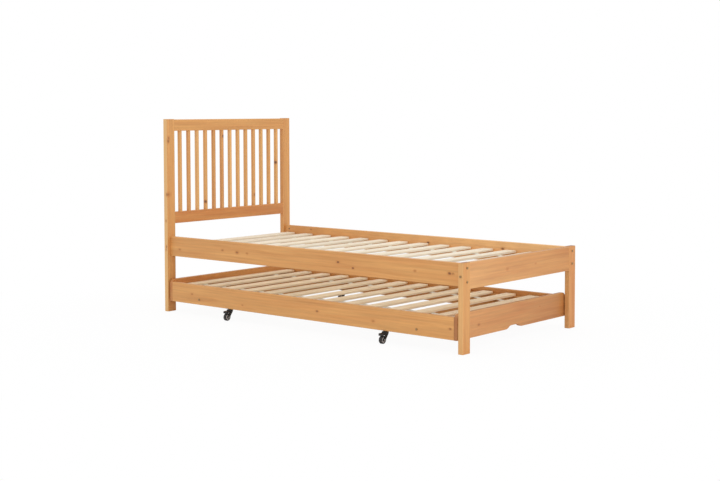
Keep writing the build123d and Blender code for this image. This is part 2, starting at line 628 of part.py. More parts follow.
# Casters: a fork that swivels on the stem, an axle through its arms, and a wheel that turns on the axle
arm_top_half = sqrt(fork_head_radius**2 - arm_outer_reach**2)
for place, (caster_x, caster_y) in caster_spots.items():
    axle_y = caster_y - caster_trail
    axle_centre = (caster_x, axle_y, wheel_radius)
    across = Plane(origin=(caster_x, caster_y, 0), x_dir=(0, 1, 0), z_dir=(1, 0, 0))
    with BuildPart() as caster_fork:
        with Locations((caster_x, caster_y, fork_skirt_bottom)):
            Cylinder(fork_head_radius, fork_head_height, align=standing)
            Cylinder(
                fork_head_radius - fork_arm_thickness,
                fork_head_height - fork_plate_thickness,
                align=standing,
                mode=Mode.SUBTRACT,
            )
        for arm_offset in (-arm_outer_reach, arm_inner_reach):
            with BuildSketch(across.offset(arm_offset)):
                with Locations((-caster_trail, wheel_radius)):
                    Circle(fork_arm_end_radius)
                with Locations((0, (fork_skirt_bottom + fork_plate_bottom) / 2)):
                    Rectangle(2 * arm_top_half, fork_plate_bottom - fork_skirt_bottom)
                make_hull()
            extrude(amount=fork_arm_thickness)
        with BuildSketch(across.offset(-arm_outer_reach)) as hood:
            with Locations(((hood_front - hood_reach) / 2 - caster_trail, (hood_top + wheel_radius) / 2)):
                Rectangle(hood_front + hood_reach, hood_top - wheel_radius)
            with Locations((-caster_trail, wheel_radius)):
                Circle(wheel_radius + hood_wheel_gap, mode=Mode.SUBTRACT)
            fillet(hood.vertices().group_by(Axis.X)[0].sort_by(Axis.Y)[-1], hood_round)
        extrude(amount=2 * arm_outer_reach)
        pin_mouth = (caster_x, caster_y, fork_top)
        drill(pin_mouth, (0, 0, 1), swivel_pin_radius + running_clearance, fork_plate_thickness)
        axle_mouth = (caster_x + arm_outer_reach, axle_y, wheel_radius)
        drill(axle_mouth, (1, 0, 0), axle_radius + running_clearance, 2 * arm_outer_reach)
    save(caster_fork, f"caster_fork_{place}")

    with BuildPart() as caster_axle:
        with Locations(Plane(origin=axle_centre, z_dir=(1, 0, 0))):
            Cylinder(axle_radius, 2 * arm_outer_reach)
        for side in sides.values():
            arm_face = (caster_x + side * arm_outer_reach, axle_y, wheel_radius)
            with Locations(Plane(origin=arm_face, z_dir=(side, 0, 0))):
                Cylinder(axle_head_radius, axle_head_height, align=standing)
    save(caster_axle, f"caster_axle_{place}")

    with BuildPart() as caster_wheel:
        with BuildSketch(Plane(origin=axle_centre, x_dir=(1, 0, 0), z_dir=(0, -1, 0))):
            with BuildLine():
                tread = Line((0, wheel_radius), (wheel_width / 2 - wheel_shoulder, wheel_radius))
                shoulder_end = (wheel_width / 2, wheel_radius - wheel_shoulder)
                shoulder = RadiusArc(tread @ 1, shoulder_end, wheel_shoulder)
                Polyline(
                    shoulder @ 1,
                    (wheel_width / 2, wheel_radius - wheel_rim),
                    (wheel_width / 2 - wheel_dish_depth, wheel_radius - wheel_rim),
                    (wheel_width / 2 - wheel_dish_depth, hub_radius),
                    (hub_half_length, hub_radius),
                    (hub_half_length, axle_radius + running_clearance),
                    (0, axle_radius + running_clearance),
                )
                mirror(about=Plane.YZ)
            make_face()
        revolve(axis=Axis(axle_centre, (1, 0, 0)))
    save(caster_wheel, f"caster_wheel_{place}")
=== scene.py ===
import json
import math

import bpy
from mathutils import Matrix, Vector

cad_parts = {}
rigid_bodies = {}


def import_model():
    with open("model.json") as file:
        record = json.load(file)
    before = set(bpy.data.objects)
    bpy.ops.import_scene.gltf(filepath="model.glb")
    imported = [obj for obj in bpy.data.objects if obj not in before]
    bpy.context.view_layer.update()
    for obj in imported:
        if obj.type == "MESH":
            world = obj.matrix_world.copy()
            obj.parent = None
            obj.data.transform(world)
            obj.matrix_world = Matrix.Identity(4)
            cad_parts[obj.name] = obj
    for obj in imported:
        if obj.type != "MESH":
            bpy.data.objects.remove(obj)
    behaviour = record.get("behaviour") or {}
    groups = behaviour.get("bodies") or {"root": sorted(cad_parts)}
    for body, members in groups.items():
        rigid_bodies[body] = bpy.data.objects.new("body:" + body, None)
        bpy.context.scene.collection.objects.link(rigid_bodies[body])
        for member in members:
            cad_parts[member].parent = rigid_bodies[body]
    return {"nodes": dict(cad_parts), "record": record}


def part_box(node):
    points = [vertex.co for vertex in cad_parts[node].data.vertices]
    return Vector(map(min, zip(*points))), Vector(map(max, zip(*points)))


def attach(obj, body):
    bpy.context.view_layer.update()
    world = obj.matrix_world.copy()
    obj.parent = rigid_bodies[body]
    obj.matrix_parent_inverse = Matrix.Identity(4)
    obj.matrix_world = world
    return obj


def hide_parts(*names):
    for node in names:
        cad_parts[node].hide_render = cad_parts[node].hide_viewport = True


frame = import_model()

bl_info = {
    "name": "Trundle bed finishes",
    "version": (1, 0, 0),
    "blender": (4, 5, 0),
    "location": "3D View > Sidebar > Trundle bed",
    "description": "Stains the pine, lays the slat tapes and finishes the fixings and casters "
                   "of a trundle bed",
    "category": "Object",
}

# The start-up cube, lamp and camera make way for the bed.
for start_up in [o for o in bpy.data.objects if o.type in {"CAMERA", "LIGHT"} or o.name == "Cube"]:
    bpy.data.objects.remove(start_up)
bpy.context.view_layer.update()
SLOT_OF = {p["node"]: p["material_slot"] for p in frame["record"]["subparts"]}

# Millimetres in a metre: pieces are in metres, grain and weave are worked out in millimetres.
MM = 1000.0

# Sockets of a Mix node that mixes colours, whose names alone don't tell them apart.
SHARE, FIRST, SECOND = 0, 6, 7

# Patterns in the wood: length along the grain and width across it, in millimetres.
LOG_DRIFT = (900, 260)
RING_RIPPLE = (170, 16)
KNOT_PULL = (14, 7)
STAIN_TAKE = (260, 42)
HEARTWOOD = (460, 36)
STAINED_STREAK = (420, 11)
BARE_STREAK = (380, 12)
BEECH_FLECK = (6, 0.6)
# Wood fibres are under 0.1 mm; bundles of 1.6 and 1.8 mm stand for them.
STAINED_FIBRE = (48, 1.6)
BARE_FIBRE = (60, 1.8)

# Year rings, in millimetres: how far the log's middle wanders along a board, how far the lines ripple,
# how far a knot pushes them aside, how deep under a board the middle of its log lay, and the steps
# between one board's place in the log and the next one's.
PITH_WANDER = 26.0
RIPPLE_HEIGHT = 3.5
SWIRL_HEIGHT = 4.0
PITH_DEPTH = 38.0
PITH_STEP = 9.0
# Slats are cut far from the middle of their log, each from another place in it: the middle and the
# spread of the places, in millimetres, and how far the patterns are shifted from slat to slat.
SLAT_PITH = (900.0, 0.0, -420.0)
SLAT_LOG = (60.0, 0.0, 30.0)
SLAT_SEED = 90.0
# Pin knots, one or two to a slat: the cells that they are scattered in, in millimetres.
PIN_KNOT_CELL = (42, 260, MM)
# Where each board's patterns begin, and the step to the next board.
SEED_START = (0, 11, 4)
SEED_STEP = (7.3, 3.1, 5.7)
# How much fibres count beside streaks, how strongly ring lines show on bare pine, and how far the lines
# stand out beside the fibres.
STAINED_FIBRE_SHARE = 0.45
BARE_FIBRE_SHARE = 0.5
BARE_RING_SHARE = 0.75
RING_RELIEF = 0.5

# Knots on the boards: the axis that the branch ran along, the place and radius in millimetres,
# and the darkness.
KNOTS = {
    "side_rail_near": (
        ("Y", -931, -470, 357, 5.0, 0.35), ("Y", -586, -470, 376, 4.5, 0.38),
        ("Y", -473, -470, 372, 6.0, 0.55), ("Y", -397, -470, 372, 4.0, 0.22),
        ("Y", 250, -470, 375, 5.5, 0.90), ("Y", 349, -470, 352, 5.0, 0.80),
        ("Y", 740, -470, 369, 4.5, 0.30), ("Y", 945, -470, 373, 6.5, 0.80),
        ("Y", 964, -470, 373, 4.5, 0.35),
    ),
    "trundle_rail_near": (
        ("Y", -812, -489, 117, 5.0, 0.38), ("Y", -415, -489, 93, 4.5, 0.22),
        ("Y", 124, -489, 115, 5.5, 0.65), ("Y", 495, -489, 103, 5.0, 0.28),
        ("Y", 963, -489, 115, 5.0, 0.55),
    ),
    "head_post_near": (
        ("X", -1009, -476, 984, 6.0, 0.50), ("X", -1009, -479, 966, 7.0, 0.55),
        ("Y", -1012, -491, 664, 6.0, 0.50), ("Y", -1020, -491, 515, 4.5, 0.40),
        ("Y", -1018, -491, 368, 5.0, 0.50), ("Y", -1022, -491, 352, 4.0, 0.35),
    ),
    "headboard_slat_04": (("X", -1013, -189, 608, 5.5, 0.95),),
    "headboard_slat_06": (("X", -1013, -50, 987, 6.0, 0.90),),
    "headboard_slat_10": (("X", -1013, 211, 628, 5.0, 0.55),),
    "headboard_slat_13": (("X", -1013, 402, 818, 6.0, 0.90),),
    "side_rail_far": (
        ("Y", 106, 474, 388, 6.0, 0.90), ("Y", 612, 474, 387, 6.0, 0.80),
        ("Y", -791, 474, 409, 4.5, 0.50),
    ),
    "trundle_foot_board": (("X", 1004, -314, 117, 6.0, 0.40), ("X", 1004, 228, 141, 4.0, 0.20)),
    "foot_rail": (("X", 1035, -118, 368, 6.0, 0.12), ("X", 1035, 137, 371, 4.0, 0.10)),
}
# A knot's length along the grain and its depth into the board, in knot radii, and how far the grain
# pulls its rim about, in metres.
KNOT_LENGTH = 1.6
KNOT_DEPTH = 3.5
KNOT_RAGGED = 0.004

# How each board took the same stain, from -1 pale sapwood through 0 honey to 1 red brown.
REDNESS = {
    "headboard_top_rail": 0.25, "headboard_lower_rail": 1.0,
    "head_post_near": 0.25, "head_post_far": 0.35,
    "side_rail_far": 0.3, "foot_rail": 0.7, "foot_leg_near": 0.42, "foot_leg_far": 0.72,
    "trundle_foot_board": 0.9, "trundle_head_board": 0.8,
    "trundle_rail_near": 0.25, "trundle_rail_far": 0.45,
}
# The headboard's uprights, from the near one to the far one.
UPRIGHT_REDNESS = (0.0, 0.28, -0.3, 0.0, 0.43, 0.49, -0.3, 0.08, 0.0, 0.12, -0.02, 0.0, -0.01)
for upright, upright_redness in enumerate(UPRIGHT_REDNESS, start=1):
    REDNESS[f"headboard_slat_{upright:02d}"] = upright_redness
USUAL_REDNESS = 0.32
# Least and most sapwood or heartwood in a board's blotches for each step of redness, and the heartwood
# that the strongest blotches show on any board that isn't sapwood.
SAP_LEAST = 0.4
SAP_MOST = 0.9
HEART_LEAST = 0.55
HEART_MOST = 0.75
HEART_ANYWHERE = 0.25

# Boards with painted light and shade along them: the share of the pale sapwood colour, painted as light, at
# the head or near end and at the other end, then the brightness at those ends, lowered where shade is
# painted.
PAINTED_LIGHT_ALONG_BOARD = {
    "side_rail_far": (0.0, 0.8, 1.0, 1.0),
    "foot_rail": (0.28, 0.0, 0.98, 0.90),
    "trundle_foot_board": (0.22, 0.0, 0.98, 0.80),
}
# Boards whose narrow sides are painted paler, as painted light on those faces.
PAINTED_LIT_SIDES = {"head_post_near": 0.7, "foot_leg_near": 0.4, "foot_leg_far": 0.42}
# How dark the cut ends are, as a share of the end grain's colour.
END_GRAIN_SHARES = {"trundle_head_board": 0.25, "trundle_foot_board": 0.62}
USUAL_END_GRAIN = 0.72

# Slat tapes, in metres: the air over a tape and over its turned end, the way from the outermost slat's
# edge to the fold, the fold's bend, and how many straight pieces draw a sag and a tape's width.
TAPE_GAP = 0.00015
FOLD_GAP = 0.0002
FOLD_INSET = 0.004
FOLD_BEND = 0.001
SAG_STEPS = 10
TAPE_STRIPS = 4
# The slope of a tape's herringbone, and its fluff beside the height of its threads.
WEAVE_SLOPE = 0.8
FLUFF_HEIGHT = 0.9
# Staples, in metres: half the crown, the wire's radius, the legs, the bent corners, the way from the
# slats down to the crown without the tape, from a slat's middle to a staple and from a tape's middle,
# then how many sides draw the wire.
STAPLE_HALF = 0.0055
STAPLE_WIRE = 0.0005
STAPLE_LEG = 0.004
STAPLE_BEND = 0.0007
STAPLE_DROP = 0.0007
STAPLE_SPREAD = 0.012
STAPLE_STAGGER = 0.004
WIRE_SIDES = 6

# Fine patterns: how many blotches of plating, orange peel, scuffs and fluff lie along a millimetre.
PLATE_CLOUDS = 0.35
PEEL_BUMPS = 0.9
SCUFFS = 0.5
FLUFF_TUFTS = 0.7
# Brightness of clouded plating, worn black and scuffed tyre beside the clean colour.
DULL_PLATE = 0.72
WORN_BLACK = 2.2
SCUFFED_TYRE = 1.7

# Studio, in metres: the floor's reach, and where the lamps hang, their sizes and what they face.
FLOOR_REACH = 30.0
LAMPS = (
    ("key", (2.6, -5.2, 2.4), 3.6),
    ("foot", (6.2, 0.4, 1.3), 2.4),
    ("top", (0.2, -0.4, 5.0), 4.0),
)
LAMP_AIM = (0, 0, 0.4)


def linear(hex_colour):
    """Linear RGB of an sRGB hex colour."""
    parts = [int(hex_colour[i:i + 2], 16) / 255 for i in (1, 3, 5)]
    return tuple(c / 12.92 if c <= 0.04045 else ((c + 0.055) / 1.055) ** 2.4 for c in parts)


WHITE = linear("#FFFFFF")


class StainedPineLook(bpy.types.PropertyGroup):
    """Honey stain and satin lacquer on planed pine."""
    spring_wood: bpy.props.FloatVectorProperty(
        name="Spring wood", description="Stained colour of the soft part of a year ring",
        subtype="COLOR", default=linear("#DFA864"), min=0, max=1)
    summer_wood: bpy.props.FloatVectorProperty(
        name="Summer wood", description="Stained colour of the hard line that ends a year ring",
        subtype="COLOR", default=linear("#C58543"), min=0, max=1)
    red_heart: bpy.props.FloatVectorProperty(
        name="Red heart", description="Colour that the stain takes on heartwood",
        subtype="COLOR", default=linear("#BF7236"), min=0, max=1)
    sapwood: bpy.props.FloatVectorProperty(
        name="Sapwood", description="Colour that the stain takes on pale sapwood",
        subtype="COLOR", default=linear("#F6C78C"), min=0, max=1)
    knot: bpy.props.FloatVectorProperty(
        name="Knot", description="Colour of the middle of a knot",
        subtype="COLOR", default=linear("#5E351A"), min=0, max=1)
    end_grain: bpy.props.FloatVectorProperty(
        name="End grain", description="Colour of cut ends, which drink more stain",
        subtype="COLOR", default=linear("#8D4F25"), min=0, max=1)
    # Pale tone, partly real where sanding thinned the stain on rounded edges, and partly painted light: a
    # painted highlight on those edges and painted light on narrow sides.
    rubbed_and_lit_pale: bpy.props.FloatVectorProperty(
        name="Rubbed edge", description="Colour of rounded edges, where sanding thinned the stain",
        subtype="COLOR", default=linear("#E6BB7E"), min=0, max=1)
    ring_width: bpy.props.FloatProperty(
        name="Ring width", description="Distance between year rings, in millimetres",
        default=6.5, min=1, max=20)


class PlainPineLook(bpy.types.PropertyGroup):
    """Planed pine slats, left bare."""
    spring_wood: bpy.props.FloatVectorProperty(
        name="Spring wood", description="Colour of the soft part of a year ring",
        subtype="COLOR", default=linear("#F3E9D4"), min=0, max=1)
    summer_wood: bpy.props.FloatVectorProperty(
        name="Summer wood", description="Colour of the hard line that ends a year ring",
        subtype="COLOR", default=linear("#E3CDAC"), min=0, max=1)
    # The low bed's slats are the same bare pine; this lighter, warmer copy of its colours is painted light
    # that makes up for the shade under the upper bed.
    low_bed_lit_spring_wood: bpy.props.FloatVectorProperty(
        name="Low bed spring wood", description="Soft part of a ring in the low bed's yellower slats",
        subtype="COLOR", default=linear("#FFEDCD"), min=0, max=1)
    low_bed_lit_summer_wood: bpy.props.FloatVectorProperty(
        name="Low bed summer wood", description="Hard line of a ring in the low bed's slats",
        subtype="COLOR", default=linear("#F3D5A9"), min=0, max=1)
    knot: bpy.props.FloatVectorProperty(
        name="Knot", description="Colour of a pin knot",
        subtype="COLOR", default=linear("#95663F"), min=0, max=1)
    slat_width: bpy.props.FloatProperty(
        name="Slat width", description="Width of one slat", default=0.064, min=0.02, unit="LENGTH")
    slat_pitch: bpy.props.FloatProperty(
        name="Slat pitch", description="Distance from slat to slat",
        default=0.1475, min=0.03, unit="LENGTH")
    ring_width: bpy.props.FloatProperty(
        name="Ring width", description="Distance between year rings, in millimetres",
        default=6.0, min=1, max=20)


class TapeLook(bpy.types.PropertyGroup):
    """Woven tapes that keep the slats apart."""
    thread: bpy.props.FloatVectorProperty(
        name="Thread", description="Colour of the tape's threads",
        subtype="COLOR", default=linear("#F6F0E4"), min=0, max=1)
    # The colour between threads is painted shade in the low places of the weave.
    shade: bpy.props.FloatVectorProperty(
        name="Between threads", description="Colour between the tape's threads",
        subtype="COLOR", default=linear("#DCD2BF"), min=0, max=1)
    width: bpy.props.FloatProperty(
        name="Tape width", description="Width of a tape", default=0.032, min=0.01, unit="LENGTH")
    thickness: bpy.props.FloatProperty(
        name="Tape thickness", description="Thickness of a tape",
        default=0.0009, min=0.0003, unit="LENGTH")
    sag: bpy.props.FloatProperty(
        name="Sag", description="How far a tape hangs down between two slats",
        default=0.0035, min=0, unit="LENGTH")
    turned_under: bpy.props.FloatProperty(
        name="Turned under", description="Length of the end folded under",
        default=0.028, min=0, unit="LENGTH")
    thread_spacing: bpy.props.FloatProperty(
        name="Thread spacing", description="Distance between thread bundles, in millimetres",
        default=2.4, min=0.2)
    stripe_width: bpy.props.FloatProperty(
        name="Stripe width", description="Width of a herringbone stripe, in millimetres",
        default=8.0, min=1)


class CasterLook(bpy.types.PropertyGroup):
    """Casters, steel fixings and dowels."""
    fork_black: bpy.props.FloatVectorProperty(
        name="Fork black", description="Colour of the moulded fork and its stem",
        subtype="COLOR", default=linear("#0C0A0A"), min=0, max=1)
    tyre: bpy.props.FloatVectorProperty(
        name="Tyre", description="Colour of the wheel's tyre and hub",
        subtype="COLOR", default=linear("#1D1B1B"), min=0, max=1)
    wheel_disc: bpy.props.FloatVectorProperty(
        name="Wheel disc", description="Colour of the disc between tyre and hub",
        subtype="COLOR", default=linear("#CFC9C5"), min=0, max=1)
    zinc: bpy.props.FloatVectorProperty(
        name="Zinc", description="Colour of the plating on nuts, screws, inserts, axles and staples",
        subtype="COLOR", default=linear("#BDBDBB"), min=0, max=1)
    bronze: bpy.props.FloatVectorProperty(
        name="Bronze", description="Colour of the bronzed plating on the bolts",
        subtype="COLOR", default=linear("#B89870"), min=0, max=1)
    beech: bpy.props.FloatVectorProperty(
        name="Beech", description="Colour of the dowels",
        subtype="COLOR", default=linear("#D6AC80"), min=0, max=1)
    beech_fleck: bpy.props.FloatVectorProperty(
        name="Beech fleck", description="Colour of the short flecks in the dowels",
        subtype="COLOR", default=linear("#B48458"), min=0, max=1)
    disc_outer: bpy.props.FloatProperty(
        name="Disc outer radius", description="Radius where the tyre begins",
        default=0.0145, min=0, unit="LENGTH")
    disc_inner: bpy.props.FloatProperty(
        name="Disc inner radius", description="Radius where the hub begins",
        default=0.0072, min=0, unit="LENGTH")
    disc_blend: bpy.props.FloatProperty(
        name="Disc blend", description="Half the width over which the wheel's colours meet",
        default=0.0002, min=0, unit="LENGTH")


class StudioLook(bpy.types.PropertyGroup):
    """Floor, light and camera."""
    paper: bpy.props.FloatVectorProperty(
        name="Paper", description="Colour of the floor",
        subtype="COLOR", default=linear("#F4F4F4"), min=0, max=1)
    least_white: bpy.props.FloatProperty(
        name="Least white", description="Share of plain white on the floor under the bed",
        default=0.94, min=0, max=1, subtype="FACTOR")
    shadow_reach: bpy.props.FloatProperty(
        name="Shadow reach", description="Way from the middle where the floor's shadow begins to fade",
        default=1.3, min=0, unit="LENGTH")
    shadow_end: bpy.props.FloatProperty(
        name="Shadow end", description="Way from the middle where the floor is plain white",
        default=2.4, min=0, unit="LENGTH")
    sky_light: bpy.props.FloatProperty(
        name="Sky light", description="Light from all round", default=0.87, min=0)
    key_power: bpy.props.FloatProperty(
        name="Key light", description="Power of the soft light beside the camera",
        default=24, min=0, unit="POWER")
    top_power: bpy.props.FloatProperty(
        name="Top light", description="Power of the broad light overhead",
        default=40, min=0, unit="POWER")
    foot_power: bpy.props.FloatProperty(
        name="Foot light", description="Power of the soft light beyond the foot end",
        default=50, min=0, unit="POWER")
    camera_place: bpy.props.FloatVectorProperty(
        name="Camera place", description="Where the camera stands", subtype="TRANSLATION",
        default=(4.4967, -5.3419, 1.1419))
    camera_turn: bpy.props.FloatVectorProperty(
        name="Camera turn", description="Tilt, roll and heading of the camera", subtype="EULER",
        default=(math.radians(86.848), math.radians(0.097), math.radians(40.081)))
    sensor: bpy.props.FloatProperty(
        name="Sensor", description="Width of the sensor in millimetres",
        default=36.0, min=1, unit="CAMERA")
    lens: bpy.props.FloatProperty(
        name="Lens", description="Focal length in millimetres",
        default=64.41, min=10, unit="CAMERA")
    rise: bpy.props.FloatProperty(
        name="Shift", description="Vertical shift of the lens", default=-0.0833)


def connect(tree, node, inputs):
    """Fill a node's inputs: a node or a socket is linked, anything else is set as a value."""
    for key, value in inputs.items():
        socket = node.inputs[key]
        if isinstance(value, bpy.types.Node):
            value = next(output for output in value.outputs if output.enabled)
        if isinstance(value, bpy.types.NodeSocket):
            tree.links.new(value, socket)
        elif socket.type == "RGBA":
            socket.default_value = (*value, 1)
        else:
            socket.default_value = value


def add_node(tree, kind, inputs, **settings):
    """Add a node with its settings and its inputs."""
    node = tree.nodes.new("ShaderNode" + kind)
    for name, value in settings.items():
        setattr(node, name, value)
    connect(tree, node, inputs)
    return node


def begin_material(name):
    """A new material, its nodes, its shader and the coordinates of the object that it is on."""
    material = bpy.data.materials.new(name)
    material.use_nodes = True
    tree = material.node_tree
    return material, tree, tree.nodes["Principled BSDF"], add_node(tree, "TexCoord", {})


def give(node_name, material):
    """Put a material on a CAD node in place of its plain one."""
    mesh = frame["nodes"][node_name].data
    mesh.materials.clear()
    mesh.materials.append(material)


def along_grain(tree, spot, run, seed, blotch, detail):
    """Blotches drawn out along the grain, of about that length and width in millimetres."""
    length, width = blotch
    stretch = [1 / width] * 3
    stretch[run] = 1 / length
    at = add_node(tree, "VectorMath", {0: spot, 1: stretch, 2: seed}, operation="MULTIPLY_ADD")
    return add_node(
        tree, "TexNoise", {"Vector": at, "Scale": 1.0, "Detail": detail, "Roughness": 0.55})


def year_rings(tree, spot, run, seed, pith, ring_width, swirl=None):
    """Dark summer wood of the year rings that a saw cut through; pith is where the log's middle was."""
    # The log's middle wanders along the board, which turns straight lines into long arches.
    drift = along_grain(tree, spot, run, seed, LOG_DRIFT, 1.0)
    moved = add_node(
        tree, "VectorMath", {0: drift.outputs["Color"], 1: (PITH_WANDER,) * 3, 2: spot},
        operation="MULTIPLY_ADD")
    across = [1.0] * 3
    across[run] = 0.0
    centre = [-(p + PITH_WANDER / 2) * a for p, a in zip(pith, across)]
    from_pith = add_node(tree, "VectorMath", {0: moved, 1: across, 2: centre}, operation="MULTIPLY_ADD")
    radius = add_node(tree, "VectorMath", {0: from_pith}, operation="LENGTH")
    ripple = along_grain(tree, spot, run, seed, RING_RIPPLE, 2.0)
    wavy = add_node(tree, "Math", {0: ripple, 1: RIPPLE_HEIGHT, 2: radius}, operation="MULTIPLY_ADD")
    if swirl:
        wavy = add_node(tree, "Math", {0: swirl, 1: SWIRL_HEIGHT, 2: wavy}, operation="MULTIPLY_ADD")
    years = add_node(tree, "Math", {0: wavy, 1: ring_width}, operation="DIVIDE")
    season = add_node(tree, "Math", {0: years}, operation="FRACT")
    year = add_node(tree, "Math", {0: years}, operation="FLOOR")
    # A ring darkens slowly towards its summer wood and ends in a sharp line; some years leave a faint one.
    darkens = add_node(
        tree, "MapRange", {"Value": season, "From Min": 0.15, "From Max": 0.86},
        interpolation_type="SMOOTHSTEP")
    ends = add_node(
        tree, "MapRange", {"Value": season, "From Min": 0.88, "To Min": 1.0, "To Max": 0.0},
        interpolation_type="SMOOTHSTEP")
    good_year = add_node(tree, "TexWhiteNoise", {"W": year}, noise_dimensions="1D")
    growth = add_node(tree, "MapRange", {"Value": good_year.outputs["Value"], "To Min": 0.35})
    line = add_node(tree, "Math", {0: darkens, 1: ends}, operation="MULTIPLY")
    return add_node(tree, "Math", {0: line, 1: growth}, operation="MULTIPLY")


def knot_marks(tree, here, spot, run, seed, knots):
    """Distance to the nearest knot, in knot radii, and the darkness that the knots give.

    Knots are long along the grain, taper into the board, and are not quite round: the grain pulls their
    rims about by a millimetre or two.
    """
    pull = along_grain(tree, spot, run, seed, KNOT_PULL, 1.0)
    pulled = add_node(
        tree, "VectorMath", {0: pull.outputs["Color"], 1: (KNOT_RAGGED,) * 3, 2: here},
        operation="MULTIPLY_ADD")
    rim = add_node(tree, "VectorMath", {0: pulled, 1: (KNOT_RAGGED / 2,) * 3}, operation="SUBTRACT")
    nearest = core = None
    for face, x, y, z, radius, darkness in knots:
        reach = [MM / radius] * 3
        reach[run] = MM / (KNOT_LENGTH * radius)
        reach["XYZ".index(face)] = MM / (KNOT_DEPTH * radius)
        off = add_node(tree, "VectorMath", {0: rim, 1: (x / MM, y / MM, z / MM)}, operation="SUBTRACT")
        scaled = add_node(tree, "VectorMath", {0: off, 1: reach}, operation="MULTIPLY")
        far = add_node(tree, "VectorMath", {0: scaled}, operation="LENGTH")
        dark = add_node(
            tree, "MapRange",
            {"Value": far, "From Min": 0.3, "From Max": 1.35, "To Min": darkness, "To Max": 0.0},
            interpolation_type="SMOOTHSTEP")
        if nearest:
            far = add_node(tree, "Math", {0: nearest, 1: far}, operation="MINIMUM")
            dark = add_node(tree, "Math", {0: core, 1: dark}, operation="MAXIMUM")
        nearest, core = far, dark
    return nearest, core


def stain_tone(tree, spot, run, seed, node_name, rings, look):
    """Stained wood with its ring lines, and the heartwood or sapwood that the board came from."""
    # The stain takes the lines in some places and hides them in others.
    takes = along_grain(tree, spot, run, seed, STAIN_TAKE, 1.0)
    depth = add_node(
        tree, "MapRange",
        {"Value": takes, "From Min": 0.35, "From Max": 0.7, "To Min": 0.08, "To Max": 0.55})
    soft = add_node(tree, "Math", {0: rings, 1: depth}, operation="MULTIPLY")
    wood = add_node(
        tree, "Mix", {SHARE: soft, FIRST: look.spring_wood, SECOND: look.summer_wood}, data_type="RGBA")

    redness = REDNESS.get(node_name, USUAL_REDNESS)
    if redness < 0:
        tone, least, most = look.sapwood, -SAP_LEAST * redness, -SAP_MOST * redness
    else:
        tone, least, most = look.red_heart, HEART_LEAST * redness, HEART_ANYWHERE + HEART_MOST * redness
    heart = along_grain(tree, spot, run, seed, HEARTWOOD, 3.0)
    share = add_node(
        tree, "MapRange",
        {"Value": heart, "From Min": 0.32, "From Max": 0.72, "To Min": least, "To Max": most})
    return add_node(tree, "Mix", {SHARE: share, FIRST: wood, SECOND: tone}, data_type="RGBA")


def paint_light_along_board(tree, spot, run, half_length, tones, wood, look):
    """Painted light and shade: wood grows paler or darker from one end of the board to the other."""
    pale_first, pale_last, bright_first, bright_last = tones
    way = add_node(tree, "SeparateXYZ", {0: spot}).outputs[run]
    along = {"Value": way, "From Min": -half_length, "From Max": half_length}
    pale = add_node(tree, "MapRange", {**along, "To Min": pale_first, "To Max": pale_last})
    # The sapwood colour stands in here for painted light, not for sapwood.
    wood = add_node(tree, "Mix", {SHARE: pale, FIRST: wood, SECOND: look.sapwood}, data_type="RGBA")
    bright = add_node(tree, "MapRange", {**along, "To Min": bright_first, "To Max": bright_last})
    return add_node(tree, "HueSaturation", {"Color": wood, "Value": bright})


def worn_and_lit_faces(tree, place, spot, size, run, thin, node_name, wood, look):
    """Wood with paler edges from thinned stain and a painted highlight, painted light on its sides, dark
    cut ends.
    """
    # On a long face, the way to that face is nought and the way to the face beside it leads to the edge,
    # so the larger of the two tells how far the edge is.
    inset = add_node(tree, "VectorMath", {0: spot}, operation="ABSOLUTE")
    to_faces = add_node(
        tree, "VectorMath", {0: [s * MM / 2 for s in size], 1: inset}, operation="SUBTRACT")
    ways = add_node(tree, "SeparateXYZ", {0: to_faces})
    sides = [ways.outputs[axis] for axis in range(3) if axis != run]
    to_edge = add_node(tree, "Math", {0: sides[0], 1: sides[1]}, operation="MAXIMUM")
    # Rounded edges are painted paler: partly real, where sanding thinned the stain, and partly a painted
    # highlight along the edge.
    thinned_and_highlit = add_node(
        tree, "MapRange",
        {"Value": to_edge, "From Min": 0.4, "From Max": 3.6, "To Min": 0.38, "To Max": 0.0},
        interpolation_type="SMOOTHSTEP")
    wood = add_node(tree, "Mix", {SHARE: thinned_and_highlit, FIRST: wood, SECOND: look.rubbed_and_lit_pale}, data_type="RGBA")

    looking = add_node(tree, "VectorMath", {0: place.outputs["Normal"]}, operation="ABSOLUTE")
    squarely = add_node(tree, "SeparateXYZ", {0: looking})
    # The narrow sides face along the board's width, the cut ends along its length.
    wide = 3 - run - thin
    # The narrow sides take painted light, a paler tone as if lit; the cut ends take their real darker end
    # grain.
    for axis, most, tone in (
        (wide, PAINTED_LIT_SIDES.get(node_name, 0.0), look.rubbed_and_lit_pale),
        (run, END_GRAIN_SHARES.get(node_name, USUAL_END_GRAIN), look.end_grain),
    ):
        faces = add_node(
            tree, "MapRange",
            {"Value": squarely.outputs[axis], "From Min": 0.55, "From Max": 0.95, "To Max": most})
        wood = add_node(tree, "Mix", {SHARE: faces, FIRST: wood, SECOND: tone}, data_type="RGBA")
    return wood


